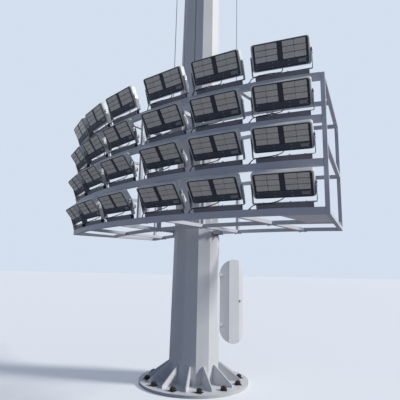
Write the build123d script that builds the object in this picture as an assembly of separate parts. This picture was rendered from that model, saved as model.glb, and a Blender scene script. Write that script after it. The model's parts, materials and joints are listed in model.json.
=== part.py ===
from build123d import *
import math
import os

# Millimetres. Origin: centre of the base flange's lower face. +Z up along the mast.
# The lamp rack bows towards -Y, +X is to the right of somebody who faces the lamps.

# Mast shaft
SIDES = 12
SHAFT_R = 384.5            # corner radius of the shaft, carried down to z = 0
TIP_R = 143.75             # corner radius at the very top
WALL_LOWER = 8.0
WALL_MIDDLE = 6.0
WALL_UPPER = 5.0
SLIP_GAP = 0.3             # play between two sleeved sections
MAST_TOP = 25000.0
LOWER_TOP = 9450.0
MIDDLE_FOOT = 8600.0
MIDDLE_TOP = 17500.0
UPPER_FOOT = 16850.0
HALF_SIDE = math.radians(180 / SIDES)

# Foot
FLANGE_R = 825.0
FLANGE_T = 40.0
CABLE_HOLE_R = 60.0
CABLE_HOLE_Y = 190.0
FOOT_TURN = 2.5            # ribs and holes are turned this much against the shaft's flats
BOLT_COUNT = 12
BOLT_CIRCLE_R = 700.0
BOLT_HOLE_R = 24.0
RIB_T = 16.0
RIB_TOP = 290.0
RIB_FOOT_R = 700.0
RIB_NOSE = 35.0
NUT_AF = 70.0
NUT_H = 36.0
WASHER_R = 46.0
WASHER_T = 8.0

# Door
DOOR_W = 448.0
DOOR_Z0 = 529.0
DOOR_Z1 = 1840.0
DOOR_T = 5.0
DOOR_GAP = 6.0
DOOR_RIM = 12.0
DOOR_RIM_DEPTH = 40.0
HINGE_X = 244.5
HINGE_Y = 292.3
HINGE_R = 10.0
HINGE_PIN_R = 5.0
HINGE_PLAY = 0.1
HINGE_LEVELS = (800.0, 1570.0)
HINGE_KNUCKLE = 44.0
HINGE_END_GAP = 2.0
LEAF_T = 5.0
DOOR_OPEN = 109.0          # how far the door stands open at rest, in degrees
LOCK_R = 16.0
LOCK_Z = 1185.0

# Webs of the hinge leaves, as distances along the skin from the pin and out from the pin
FIXED_WEB = [(-4, -25), (30, -25), (30, -6), (0, 9), (-4, 9)]
SWING_WEB = [(0, -8), (24, -8), (26, -25), (46, -25), (46, -6), (0, 9)]

# Winch
WINCH_Z = 980.0
WINCH_Y = -40.0
CHEEK_X = 140.0
CHEEK_T = 12.0
DRUM_R = 70.0
DRUM_FLANGE_R = 135.0
WINCH_SHAFT_R = 18.0

# Rack
BEAM_R = 6172.0            # centre line of the four row beams
FRONT_REACH = 1216.0       # their middle, ahead of the mast's axis
FRONT_ROOM = 42.3          # from the shaft to the bowed bars in front of it
REAR_ROOM = 68.3           # and to those behind it
END_ROOM = 457.0           # from the middle of the last lamp to the end of its beam
REAR_POST_X = 2001.0
BEAM_D = 60.0
BEAM_H = 80.0
BAR = 50.0
ROW_TOPS = (3918.0, 3403.0, 2891.0, 2348.0)
HALF_LEVEL = 3113.0
SPLIT_POST_X = 88.0
POST = 40.0
CAGE_X = 470.0
OUTER_BAR_X = 1500.0
GUSSET = 95.0
GUSSET_T = 8.0
ROLLER_R = 32.0
ROLLER_W = 90.0
ROLLER_GAP = 10.0
ROLLER_PIN_R = 8.0
ROLLER_DROP = 45.0         # roller axle below the bar that carries it
SHEET_T = 5.0
SHEET_REACH = 511.0        # the two floor plates, from the front corner posts inwards

# Lamps
AIM = (28.0, 36.0, 40.0, 39.0)     # how far each row looks down, top row first
COLUMNS = 3                # on each side of the middle
COLUMN_PITCH = 820.0       # from lamp to lamp, measured between their pivots
MIDDLE_EXTRA = 63.0        # more room on each side of the middle
LAMP_W = 690.0
LAMP_H = 317.0
LAMP_D = 100.0
LAMP_CORNER = 30.0
FACE_W = 646.0
FACE_H = 305.0
BACK_W = 620.0
BACK_H = 281.0
FACE_OUT = 45.0            # lamp face ahead of its pivot
BULGE = 24.0               # depth over which the sides round off, front and back
FINS = 11
FIN_T = 5.0
FIN_D = 26.0
FIN_H = 236.0
FIN_SPAN = 560.0
DRIVER_W = 250.0
DRIVER_H = 160.0
DRIVER_D = 62.0
DRIVER_Z = -18.0
MOUTH_BACK = 40.0          # the cable entry, behind the housing's back
LENS_W = 268.0
LENS_H = 207.0
LENS_T = 5.0
LENS_GAP = 0.3
LENS_APART = 60.0          # rib between the two lens panels
LENS_EDGE = 16.5           # from the lamp's top edge down to the panels

# Lamp yokes, each on a folded steel seat on top of its beam
LEAN = 20.0                # the yokes lean outwards
SEAT_Y = -16.0             # middle of the seat's upper face
SEAT_Z = 59.0
SEAT_L = 630.0
SEAT_WALL = 4.0
SEAT_RIM = 2.0
PIVOT_RISE = 216.0         # lamp pivot above the seat, along the leaning arms
YOKE_T = 6.0
YOKE_B = 60.0
YOKE_GAP = 6.0
YOKE_OVER = 25.0
YOKE_CUT = 9.0
PIVOT_BOLT_R = 11.0

# Lamp leads
LEAD_R = 5.0
GLAND_AF = 20.0
GLAND_L = 18.0
ENTRY = (-408.0, 8.0, 0.0)         # where the lead goes into the beam, from the lamp's middle
ENTRY_DIR = (0.575, -0.688, 0.443)
ENTRY_L = 24.0

# Ropes and head
ROPE_R = 6.0
MAIN_ROPE_R = 7.0
CABLE_R = 9.0
SEAT = 0.3                 # gap between pieces that rest on one another
FRONT_ROPE_X = 230.0
REAR_ROPE_X = 430.0
SHEAVE_R = 110.0
SHEAVE_T = 26.0
SHEAVE_Z = 25120.0
AXLE_R = 12.0
AXLE_PLAY = 0.1
CAP_T = 14.0
CAP_R = 260.0
CAP_HOLE_R = 95.0
ARM_T = 8.0
ARM_H = 90.0
HOOD_R = 760.0
HOOD_T = 3.0
HOOD_SKIRT = 140.0
HOOD_RISE = 160.0
HOOD_PEAK_R = 60.0
ROD_H = 1500.0
ROD_R = 10.0
ROD_FOOT_R = 50.0

# Values that follow from those above
TAPER = (SHAFT_R - TIP_R) / MAST_TOP
TOP = ROW_TOPS[0]
BOTTOM = ROW_TOPS[-1] - BEAM_H
ARC_CENTRE_Y = BEAM_R - FRONT_REACH
RACK_BORE = SHAFT_R - TAPER * BOTTOM + BAR / 2
MID_R = ARC_CENTRE_Y + RACK_BORE + FRONT_ROOM
REAR_R = ARC_CENTRE_Y - RACK_BORE - REAR_ROOM
PIVOT_OUT = PIVOT_RISE * math.sin(math.radians(LEAN)) - SEAT_Y
PIVOT_R = BEAM_R + PIVOT_OUT


def polar(radius, degrees, z=0.0):
    a = math.radians(degrees)
    return (radius * math.sin(a), -radius * math.cos(a), z)


def on_rack(radius, degrees, z=0.0):
    x, y, z = polar(radius, degrees, z)
    return Location((x, y + ARC_CENTRE_Y, z), (0, 0, degrees))


def arc_y(radius, x):
    return ARC_CENTRE_Y - math.sqrt(radius * radius - x * x)


def shaft_radius(z):
    return SHAFT_R - TAPER * z


def skin(rings):
    # Closed solid through a row of like-numbered rings of points
    faces = [Face(Wire.make_polygon(rings[0])), Face(Wire.make_polygon(rings[-1]))]
    for low, high in zip(rings, rings[1:]):
        for k in range(len(low)):
            n = (k + 1) % len(low)
            faces.append(Face(Wire.make_polygon([low[k], low[n], high[n], high[k]])))
    return Solid(Shell(faces))


def twelve_sided(levels):
    # Solid around the Z axis from corner radii and heights
    step = 360 / SIDES
    return skin([[Vector(*polar(r, step * (k + 0.5), z)) for k in range(SIDES)] for r, z in levels])


def frustum(z0, z1, grow=0.0):
    # Solid 12-sided taper between two heights; grow moves every flat outwards
    more = grow / math.cos(HALF_SIDE)
    return twelve_sided([(shaft_radius(z0) + more, z0), (shaft_radius(z1) + more, z1)])


def shaft_section(z0, z1, outer, wall):
    return frustum(z0, z1, outer) - frustum(z0 - 20, z1 + 20, outer - wall)


def block(x0, x1, y0, y1, z0, z1):
    size = (x1 - x0, y1 - y0, z1 - z0)
    return Pos((x0 + x1) / 2, (y0 + y1) / 2, (z0 + z1) / 2) * Box(*size)


def rod(p, q, radius):
    a = Vector(*p)
    b = Vector(*q)
    return Solid.make_cylinder(radius, (b - a).length, Plane(origin=a, z_dir=b - a))


def join(shapes):
    return Compound(children=[s for s in shapes])


def save(shape, name, slot):
    solids = shape.solids()
    part = solids[0] if len(solids) == 1 else Compound(children=list(solids))
    part.label = name
    export_step(part, "parts/" + name + ".step")
    print(name, slot, len(solids), round(sum(s.volume for s in solids) / 1e6, 2), "dm3")


# The foot of the mast
def base_flange():
    disc = Pos(0, 0, FLANGE_T / 2) * Cylinder(FLANGE_R, FLANGE_T)
    disc -= Pos(0, CABLE_HOLE_Y, FLANGE_T / 2) * Cylinder(CABLE_HOLE_R, FLANGE_T + 2)
    for k in range(BOLT_COUNT):
        x, y, z = polar(BOLT_CIRCLE_R, 360 / BOLT_COUNT * (k + 0.5) + FOOT_TURN, FLANGE_T / 2)
        disc -= Pos(x, y, z) * Cylinder(BOLT_HOLE_R, FLANGE_T + 2)
    return disc


def base_ribs():
    outline = [(300, FLANGE_T), (RIB_FOOT_R, FLANGE_T), (RIB_FOOT_R, FLANGE_T + RIB_NOSE)]
    outline += [(396, RIB_TOP), (300, RIB_TOP)]
    shaft = frustum(FLANGE_T - 10, RIB_TOP + 50)
    ribs = []
    for k in range(SIDES):
        rib = extrude(Plane.XZ * Polygon(*outline, align=None), RIB_T / 2, both=True)
        rib = Rot(0, 0, 360 / SIDES * k + FOOT_TURN - 90) * rib
        ribs.append(rib - shaft)
    return join(ribs)


def anchor_nuts():
    nuts = []
    for k in range(BOLT_COUNT):
        at = Pos(*polar(BOLT_CIRCLE_R, 360 / BOLT_COUNT * (k + 0.5) + FOOT_TURN, FLANGE_T))
        washer = Pos(0, 0, WASHER_T / 2) * Box(2 * WASHER_R, 2 * WASHER_R, WASHER_T)
        nut = Pos(0, 0, WASHER_T) * extrude(RegularPolygon(NUT_AF / 2, 6, major_radius=False), NUT_H)
        ring = washer + nut - Cylinder(BOLT_HOLE_R, 200)
        nuts.append(at * Rot(0, 0, 17 * k) * ring)
    return join(nuts)


# The door and the three shaft sections
def door_prism(grow):
    # Solid with half-round ends through the wall, grown all round by grow
    height = DOOR_Z1 - DOOR_Z0 + 2 * grow
    outline = SlotOverall(height, DOOR_W + 2 * grow, rotation=90)
    centre = Plane(origin=(0, 100, (DOOR_Z0 + DOOR_Z1) / 2), x_dir=(1, 0, 0), z_dir=(0, 1, 0))
    return extrude(centre * outline, 400)


def door_layer(inner, outer):
    return frustum(DOOR_Z0 - 200, DOOR_Z1 + 200, outer) - frustum(DOOR_Z0 - 220, DOOR_Z1 + 220, inner)


def opened(shape):
    # Swing a closed door piece open about the hinge pins
    return Pos(HINGE_X, HINGE_Y, 0) * Rot(0, 0, -DOOR_OPEN) * Pos(-HINGE_X, -HINGE_Y, 0) * shape


def door_panel():
    # A piece of the shaft's own skin: bent over two corners, cut with round ends
    return opened(door_layer(-DOOR_T, 0) & door_prism(0))


def door_frame():
    rim = door_layer(-WALL_LOWER - DOOR_RIM_DEPTH, -WALL_LOWER)
    return rim & (door_prism(DOOR_GAP + DOOR_RIM) - door_prism(DOOR_GAP))


def hinge_leaf(z0, z1, x0, x1, web):
    # Leaf on the skin, knuckle round the pin and a web between them; the web's
    # points run along the skin (from the pin to the leaf) and out from it
    leaf = door_layer(0, LEAF_T) & block(x0, x1, 150, 420, z0, z1)
    knuckle = Pos(HINGE_X, HINGE_Y, (z0 + z1) / 2) * Cylinder(HINGE_R, z1 - z0)
    a = 2 * HALF_SIDE
    out = Vector(math.sin(a), math.cos(a))
    side = 1 if (x0 + x1) / 2 > HINGE_X else -1
    along = Vector(math.cos(a), -math.sin(a)) * side
    corners = [Vector(HINGE_X, HINGE_Y) + along * d + out * h for d, h in web]
    outline = Pos(0, 0, z0) * Polygon(*[(v.X, v.Y) for v in corners], align=None)
    strap = extrude(outline, z1 - z0, dir=(0, 0, 1)) - frustum(z0 - 5, z1 + 5)
    return leaf + knuckle + strap


def door_hinge_posts():
    # Upper and lower knuckles on the mast, with the pins that carry the door
    pieces = []
    for level in HINGE_LEVELS:
        z0 = level - HINGE_KNUCKLE - HINGE_END_GAP / 2
        lower = hinge_leaf(z0, z0 + HINGE_KNUCKLE, HINGE_X - 3, HINGE_X + 36, FIXED_WEB)
        z1 = level + HINGE_KNUCKLE + HINGE_END_GAP / 2
        pin = Pos(HINGE_X, HINGE_Y, (z0 + z1) / 2) * Cylinder(HINGE_PIN_R, z1 - z0)
        pieces.append(lower + pin)
    return join(pieces)


def door_hinge_leaves():
    pieces = []
    for level in HINGE_LEVELS:
        z0 = level + HINGE_END_GAP / 2
        leaf = hinge_leaf(z0, z0 + HINGE_KNUCKLE, 150, DOOR_W / 2 - 1, SWING_WEB)
        bore = Pos(HINGE_X, HINGE_Y, level) * Cylinder(HINGE_PIN_R + HINGE_PLAY, 200)
        pieces.append(opened(leaf - bore))
    return join(pieces)


def door_lock():
    skin_y = shaft_radius(LOCK_Z) * math.cos(HALF_SIDE)
    body = Pos(-120, skin_y + 6, LOCK_Z) * Rot(90, 0, 0) * Cylinder(LOCK_R, 24)
    body -= frustum(LOCK_Z - 200, LOCK_Z + 200)
    return opened(body)


def mast_lower():
    skin = shaft_section(FLANGE_T, LOWER_TOP, 0, WALL_LOWER)
    return skin - door_prism(DOOR_GAP)


def mast_middle():
    outer = SLIP_GAP + WALL_MIDDLE
    return shaft_section(MIDDLE_FOOT, MIDDLE_TOP, outer, WALL_MIDDLE)


def mast_upper():
    outer = SLIP_GAP + WALL_MIDDLE + SLIP_GAP + WALL_UPPER
    return shaft_section(UPPER_FOOT, MAST_TOP, outer, WALL_UPPER)


# The winch inside the shaft
def winch_frame():
    frame = block(-CHEEK_X - CHEEK_T, CHEEK_X + CHEEK_T, WINCH_Y - 172, WINCH_Y - 160, WINCH_Z - 220, WINCH_Z + 170)
    for side in (-1, 1):
        x0 = side * CHEEK_X
        x1 = side * (CHEEK_X + CHEEK_T)
        frame += block(min(x0, x1), max(x0, x1), WINCH_Y - 170, WINCH_Y + 110, WINCH_Z - 180, WINCH_Z + 150)
    for z in (WINCH_Z - 200, WINCH_Z + 100):
        bar = block(-400, 400, WINCH_Y - 222, WINCH_Y - 172, z, z + 60)
        frame += bar & frustum(z - 50, z + 110, -WALL_LOWER)
    return frame - Pos(0, WINCH_Y, WINCH_Z) * Rot(0, 90, 0) * Cylinder(WINCH_SHAFT_R, 4 * CHEEK_X)


def winch_drum():
    turn = Pos(0, WINCH_Y, WINCH_Z) * Rot(0, 90, 0)
    drum = turn * Cylinder(DRUM_R + 14, 2 * (CHEEK_X - 18))
    for side in (-1, 1):
        drum += Pos(side * (CHEEK_X - 13), 0, 0) * turn * Cylinder(DRUM_FLANGE_R, 10)
    return drum + turn * Cylinder(WINCH_SHAFT_R - 0.1, 2 * (CHEEK_X + CHEEK_T) + 30)


def winch_gearbox():
    x0 = CHEEK_X + CHEEK_T
    box = block(x0, x0 + 95, WINCH_Y - 95, WINCH_Y + 95, WINCH_Z - 110, WINCH_Z + 110)
    box += Pos(x0 + 50, WINCH_Y + 130, WINCH_Z - 30) * Rot(90, 0, 0) * Cylinder(34, 90)
    box += Pos(x0 + 50, WINCH_Y + 190, WINCH_Z - 30) * Rot(90, 0, 0) * Cylinder(13, 50)
    return box - Pos(x0, WINCH_Y, WINCH_Z) * Rot(0, 90, 0) * Cylinder(WINCH_SHAFT_R, 60)


def main_rope():
    y = WINCH_Y - DRUM_R - 14 - MAIN_ROPE_R - SEAT
    return rod((0, y, WINCH_Z), (0, y, MAST_TOP - 30), MAIN_ROPE_R)


# The head of the mast and the ropes
def rope_places():
    rear_y = arc_y(REAR_R, REAR_ROPE_X)
    front_y = arc_y(MID_R, FRONT_ROPE_X)
    return ((-FRONT_ROPE_X, front_y), (FRONT_ROPE_X, front_y), (-REAR_ROPE_X, rear_y), (REAR_ROPE_X, rear_y))


def head_frame():
    cap = twelve_sided([(CAP_R, MAST_TOP), (CAP_R, MAST_TOP + CAP_T)])
    cap -= Pos(0, 0, MAST_TOP + CAP_T / 2) * Cylinder(CAP_HOLE_R, CAP_T + 2)
    frame = cap
    for x, y in rope_places():
        reach = math.hypot(x, y) + 20
        turn = math.degrees(math.atan2(x, -y))
        for side in (-1, 1):
            near = side * (SHEAVE_T / 2 + 2)
            far = side * (SHEAVE_T / 2 + 2 + ARM_T)
            plate = block(min(near, far), max(near, far), -reach, -90, MAST_TOP + CAP_T, SHEAVE_Z + 45)
            frame += Rot(0, 0, turn) * plate
        axle = Rot(0, 90, 0) * Cylinder(AXLE_R, SHEAVE_T + 2 * ARM_T + 20)
        frame += Rot(0, 0, turn) * Pos(0, 20 + SHEAVE_R - reach, SHEAVE_Z) * axle
    for x in (-20, 12):
        frame += block(x, x + ARM_T, FRONT_ROPE_Y - 40, -90, MAST_TOP + CAP_T, SHEAVE_Z + 45)
    return frame


def pulley():
    # Wheel on the X axis with a grooved rim; the rope's middle runs at SHEAVE_R
    rim = SHEAVE_R + ROPE_R
    half = SHEAVE_T / 2
    floor = SHEAVE_R - ROPE_R - SEAT
    bore = AXLE_R + AXLE_PLAY
    outline = [(-half, bore), (half, bore), (half, rim), (ROPE_R + 3, rim), (ROPE_R + 1, floor)]
    outline += [(-ROPE_R - 1, floor), (-ROPE_R - 3, rim), (-half, rim)]
    return revolve(Plane.XY * Polygon(*outline, align=None), Axis.X)


def head_pulleys():
    wheels = []
    for x, y in rope_places():
        reach = math.hypot(x, y) - SHEAVE_R
        turn = math.degrees(math.atan2(x, -y))
        wheels.append(Rot(0, 0, turn) * Pos(0, -reach, SHEAVE_Z) * pulley())
    return join(wheels)


def head_hood():
    # Twelve-sided sheet hood over the pulleys, on two struts
    z0 = SHEAVE_Z - 10
    z1 = z0 + HOOD_SKIRT
    z2 = z1 + HOOD_RISE
    outer = twelve_sided([(HOOD_R, z0), (HOOD_R, z1), (HOOD_PEAK_R, z2)])
    inner = twelve_sided([(HOOD_R - HOOD_T, z0 - 1), (HOOD_R - HOOD_T, z1 - HOOD_T), (HOOD_PEAK_R, z2 - HOOD_T)])
    hood = outer - inner
    for x in (-CAP_R / 2, CAP_R / 2):
        hood += block(x - 20, x + 20, -20, 20, MAST_TOP + CAP_T, z2) & (outer + block(x - 20, x + 20, -20, 20, MAST_TOP, z1))
    return hood


def lightning_rod():
    z0 = SHEAVE_Z - 10 + HOOD_SKIRT + HOOD_RISE
    base = Pos(0, 0, z0 + CAP_T / 2) * Cylinder(ROD_FOOT_R, CAP_T)
    tip = rod((0, 0, z0), (0, 0, z0 + ROD_H), ROD_R)
    point = Pos(0, 0, z0 + ROD_H + 4 * ROD_R) * Cone(ROD_R, ROD_R / 8, 8 * ROD_R)
    return base + tip + point


FRONT_ROPE_Y = arc_y(MID_R, 0)


def hoist_ropes():
    ropes = [rod((x, y, ROW_TOPS[0] + 60), (x, y, SHEAVE_Z), ROPE_R) for x, y in rope_places()]
    return join(ropes)


def supply_cable():
    return rod((0, FRONT_ROPE_Y, ROW_TOPS[0] + 60), (0, FRONT_ROPE_Y, SHEAVE_Z - 40), CABLE_R)


# The rack
def lamp_angle(k):
    # Place of a lamp on the rack's arc, counted outwards from the middle
    step = 2 * math.degrees(math.asin(COLUMN_PITCH / 2 / PIVOT_R))
    return math.degrees(math.asin(MIDDLE_EXTRA / PIVOT_R)) + step * (k + 0.5)


FRONT_END = lamp_angle(COLUMNS - 1) + math.degrees(math.asin(END_ROOM / BEAM_R))
END_POST = on_rack(BEAM_R, FRONT_END).position
END_RUN = Vector(REAR_POST_X - END_POST.X, arc_y(REAR_R, REAR_POST_X) - END_POST.Y)
END_TURN = math.degrees(math.atan2(END_RUN.Y, END_RUN.X)) - 90


def end_place(side, along, z):
    # A place on the end frame's centre line, turned with it; side is -1 or 1
    d = END_RUN.normalized()
    x = END_POST.X + d.X * along
    y = END_POST.Y + d.Y * along
    return Location((side * x, y, z), (0, 0, side * END_TURN))


def beyond(side):
    # Everything outside the inner face of one end frame
    room = Box(2 * BEAM_R, 2 * BEAM_R, 2 * BEAM_R)
    return end_place(side, END_RUN.length / 2, 0) * Pos(side * (BEAM_R - BAR / 2), 0, 0) * room


def trim_ends(shape):
    return shape - beyond(-1) - beyond(1)


def curved_bar(radius, depth, height, top):
    # A bar rolled to the rack's curve, cut to the two end frames
    half = 31.0
    outer = radius + depth / 2
    inner = radius - depth / 2
    a = on_rack(outer, -half).position
    b = on_rack(outer, 0).position
    c = on_rack(outer, half).position
    d = on_rack(inner, half).position
    e = on_rack(inner, 0).position
    f = on_rack(inner, -half).position
    edges = [Edge.make_three_point_arc(a, b, c), Edge.make_line(c, d)]
    edges += [Edge.make_three_point_arc(d, e, f), Edge.make_line(f, a)]
    face = Face(Wire(edges))
    return trim_ends(Pos(0, 0, top - height) * extrude(face, height, dir=(0, 0, 1)))


def row_beam(row):
    return curved_bar(BEAM_R, BEAM_D, BEAM_H, ROW_TOPS[row])


LEVELS_MID = (TOP, BOTTOM + BAR)
LEVELS_REAR = (TOP, HALF_LEVEL, BOTTOM + BAR)


def mid_arcs():
    return join([curved_bar(MID_R, BAR, BAR, z) for z in LEVELS_MID])


def rear_arcs():
    return join([curved_bar(REAR_R, BAR, BAR, z) for z in LEVELS_REAR])


def gusset(into, up):
    # Corner plate in the plane of an end frame, let into the two bars that it joins
    sunk = GUSSET_T
    corners = [(-sunk, -sunk), (GUSSET, -sunk), (GUSSET, 0), (0, GUSSET), (-sunk, GUSSET)]
    outline = Polygon(*[(into * y, up * z) for y, z in corners], align=None)
    return extrude(Plane.YZ * outline, GUSSET_T / 2, both=True)


def end_frame(side):
    # One flat end of the rack: two posts and three rails, welded together
    length = END_RUN.length
    frame = None
    for along in (0, length):
        post = end_place(side, along, (TOP + BOTTOM) / 2) * Box(BAR, BAR, TOP - BOTTOM)
        frame = post if frame is None else frame + post
    for top in LEVELS_REAR:
        frame += end_place(side, length / 2, top - BAR / 2) * Box(BAR, length, BAR)
    for along, into in ((BAR / 2, 1), (length - BAR / 2, -1)):
        for z, up in ((TOP - BAR, -1), (BOTTOM + BAR, 1)):
            frame += end_place(side, along, z) * gusset(into, up)
    return frame


def front_posts():
    # Uprights beside the rack's middle, welded behind the row beams
    face = arc_y(BEAM_R - BEAM_D / 2, SPLIT_POST_X)
    pieces = []
    for side in (-1, 1):
        x = side * SPLIT_POST_X
        post = block(x - POST / 2, x + POST / 2, face - 5, face + POST, BOTTOM, TOP)
        for row in range(4):
            post -= row_beam(row)
        pieces.append(post)
    return join(pieces)


def mast_cage():
    # The frame around the mast, with the bars that tie it to the front and rear
    arcs = [curved_bar(MID_R, BAR, BAR, z) for z in LEVELS_MID]
    arcs += [curved_bar(REAR_R, BAR, BAR, z) for z in LEVELS_REAR]
    arcs += [row_beam(0), row_beam(3)]
    pieces = []
    for x in (-OUTER_BAR_X, -CAGE_X, CAGE_X, OUTER_BAR_X):
        y0 = arc_y(BEAM_R, x)
        y1 = arc_y(REAR_R, x)
        for top in LEVELS_MID:
            pieces.append(block(x - BAR / 2, x + BAR / 2, y0, y1, top - BAR, top))
    for x in (-CAGE_X, CAGE_X):
        for radius in (MID_R, REAR_R):
            y = arc_y(radius, x)
            pieces.append(block(x - BAR / 2, x + BAR / 2, y - 25, y + 25, BOTTOM + BAR, TOP - BAR))
    cage = pieces[0]
    for piece in pieces[1:]:
        cage += piece
    for arc in arcs:
        cage -= arc
    return cage


def roller_spots():
    spots = []
    for side in (-1, 1):
        for top in LEVELS_MID:
            z = top - BAR - ROLLER_DROP
            flat = shaft_radius(BOTTOM - 80) * math.cos(HALF_SIDE)
            spots.append((side, flat + ROLLER_GAP + ROLLER_R, z))
    return spots


def roller_brackets():
    brackets = []
    for side, x, z in roller_spots():
        bracket = None
        for y0 in (-ROLLER_W / 2 - 10, ROLLER_W / 2 + 4):
            ear = block(x - 18, CAGE_X + BAR / 2, y0, y0 + 6, z - 20, z + 45)
            bracket = ear if bracket is None else bracket + ear
        bracket += block(CAGE_X - BAR / 2 + 8, CAGE_X + BAR / 2, -ROLLER_W / 2 - 10, ROLLER_W / 2 + 10, z + 37, z + 45)
        pin = Pos(x, 0, z) * Rot(90, 0, 0) * Cylinder(ROLLER_PIN_R, ROLLER_W + 30)
        bracket += pin
        brackets.append(bracket if side > 0 else mirror(bracket, Plane.YZ))
    return join(brackets)


def guide_rollers():
    rollers = []
    for side, x, z in roller_spots():
        roller = Rot(90, 0, 0) * (Cylinder(ROLLER_R, ROLLER_W) - Cylinder(ROLLER_PIN_R + AXLE_PLAY, ROLLER_W + 2))
        rollers.append(Pos(side * x, 0, z) * roller)
    return join(rollers)


def rope_anchors():
    lugs = []
    for x, y in list(rope_places()) + [(0, FRONT_ROPE_Y)]:
        lug = block(x - 25, x + 25, y - 18, y + 18, TOP, TOP + 10)
        lug += Pos(x, y, TOP + 35) * Cylinder(13, 50)
        lugs.append(lug)
    return join(lugs)


def floor_plates():
    # Sheet floors under the two outermost bays, between front and middle bars
    plates = []
    for side in (-1, 1):
        bars = [row_beam(3), curved_bar(MID_R, BAR, BAR, BOTTOM + BAR)]
        sheet = curved_bar((BEAM_R + MID_R) / 2, BEAM_R - MID_R, SHEET_T, BOTTOM + 12)
        edge = END_POST.X - SHEET_REACH
        x0, x1 = (edge, BEAM_R) if side > 0 else (-BEAM_R, -edge)
        sheet = sheet & block(x0, x1, -BEAM_R, BEAM_R, BOTTOM, BOTTOM + BAR)
        for bar in bars:
            sheet -= bar
        plates.append(sheet)
    return join(plates)


def junction_box():
    y = arc_y(MID_R, 0) - BAR / 2
    return block(-110, 110, y - 90, y, TOP - 200, TOP - 2)


# The lamps
def lamp_places(row):
    places = []
    for side in (-1, 1):
        for k in range(COLUMNS):
            places.append(on_rack(BEAM_R, side * lamp_angle(k), ROW_TOPS[row]))
    return places


def on_seat():
    # From the beam's upper face to the seat's, which leans outwards with the yoke
    return Pos(0, SEAT_Y, SEAT_Z) * Rot(LEAN, 0, 0)


def aimed(row):
    # From the lamp's own frame to its beam: turned down about the pivot
    return on_seat() * Pos(0, 0, PIVOT_RISE) * Rot(AIM[row] - LEAN, 0, 0)


def soft_ring(width, height, y):
    # Rectangle across the lamp's depth with its corners rounded in three steps
    points = []
    for sx, sz, start in ((1, 1, 0), (-1, 1, 90), (-1, -1, 180), (1, -1, 270)):
        x = sx * (width / 2 - LAMP_CORNER)
        z = sz * (height / 2 - LAMP_CORNER)
        for k in range(4):
            a = math.radians(start + 30 * k)
            points.append(Vector(x + LAMP_CORNER * math.cos(a), y, z + LAMP_CORNER * math.sin(a)))
    return points


def lens_blocks(grow):
    pads = []
    for side in (-1, 1):
        x = side * (LENS_W + LENS_APART) / 2
        z = (LAMP_H - LENS_H) / 2 - LENS_EDGE
        size = Box(LENS_W + 2 * grow, LENS_T + 2 * grow, LENS_H + 2 * grow)
        pads.append(Pos(x, -FACE_OUT + LENS_T / 2, z) * size)
    return pads


def lamp_housing():
    # Cast body that swells behind its face, with cooling fins and the driver box behind
    face = -FACE_OUT
    back = face + LAMP_D
    rings = [soft_ring(FACE_W, FACE_H, face), soft_ring(LAMP_W, LAMP_H, face + BULGE)]
    rings += [soft_ring(LAMP_W, LAMP_H, back - BULGE), soft_ring(BACK_W, BACK_H, back)]
    body = skin(rings)
    for k in range(FINS):
        x = FIN_SPAN * (k / (FINS - 1) - 0.5)
        body += block(x - FIN_T / 2, x + FIN_T / 2, back - 2, back + FIN_D, -FIN_H / 2, FIN_H / 2)
    low = DRIVER_Z - DRIVER_H / 2
    body += block(-DRIVER_W / 2, DRIVER_W / 2, back - 2, back + DRIVER_D, low, low + DRIVER_H)
    for pad in lens_blocks(LENS_GAP):
        body -= pad
    return body


HOUSING = lamp_housing()


def lamp_housings(row):
    return join([place * aimed(row) * HOUSING for place in lamp_places(row)])


def lamp_lenses():
    lenses = []
    for row in range(4):
        for pad in lens_blocks(0):
            lenses += [place * aimed(row) * pad for place in lamp_places(row)]
    return join(lenses)


def yoke():
    # Bent flat bar: foot on the seat, two arms up to the pivots, hexagon bolts through them
    inner = LAMP_W / 2 + YOKE_GAP
    outer = inner + YOKE_T
    top = PIVOT_RISE + YOKE_OVER
    right = [(outer - YOKE_CUT, 0), (outer, YOKE_CUT), (outer, top), (inner, top), (inner, YOKE_T)]
    left = [(-x, z) for x, z in reversed(right)]
    strap = extrude(Plane.XZ * Polygon(*(right + left), align=None), YOKE_B / 2, both=True)
    for side in (-1, 1):
        bolt = extrude(RegularPolygon(PIVOT_BOLT_R, 6), 2 * YOKE_GAP + YOKE_T)
        turn = Rot(0, 90 * side, 0)
        strap += Pos(side * LAMP_W / 2, 0, PIVOT_RISE) * turn * bolt
    return on_seat() * strap


YOKE = yoke()


def yokes(row):
    return join([place * YOKE for place in lamp_places(row)])


def yoke_seat():
    # Folded channel between the beam's flat top and the leaning yoke
    half = YOKE_B / 2 + SEAT_RIM
    a = math.radians(LEAN)
    front = (SEAT_Y - half * math.cos(a), SEAT_Z - half * math.sin(a))
    back = (SEAT_Y + half * math.cos(a), SEAT_Z + half * math.sin(a))
    foot = BEAM_D / 2
    outline = Polygon((-foot, 0), front, back, (foot, 0), align=None)
    hollow = offset(outline, amount=-SEAT_WALL, kind=Kind.INTERSECTION)
    return extrude(Plane.YZ * (outline - hollow), SEAT_L / 2, both=True)


def yoke_seats():
    seat = yoke_seat()
    return join([place * seat for row in range(4) for place in lamp_places(row)])


# The leads from the lamps to their beams
def gland(length):
    return extrude(RegularPolygon(GLAND_AF / 2, 6, major_radius=False), length)


def driver_mouth(row, out):
    # Place at or below the cable entry in the underside of a lamp's driver box
    y = -FACE_OUT + LAMP_D + MOUTH_BACK
    return aimed(row) * Pos(0, y, DRIVER_Z - DRIVER_H / 2 - out)


def entry_point(out):
    return Vector(*ENTRY) + Vector(*ENTRY_DIR).normalized() * out


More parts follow.
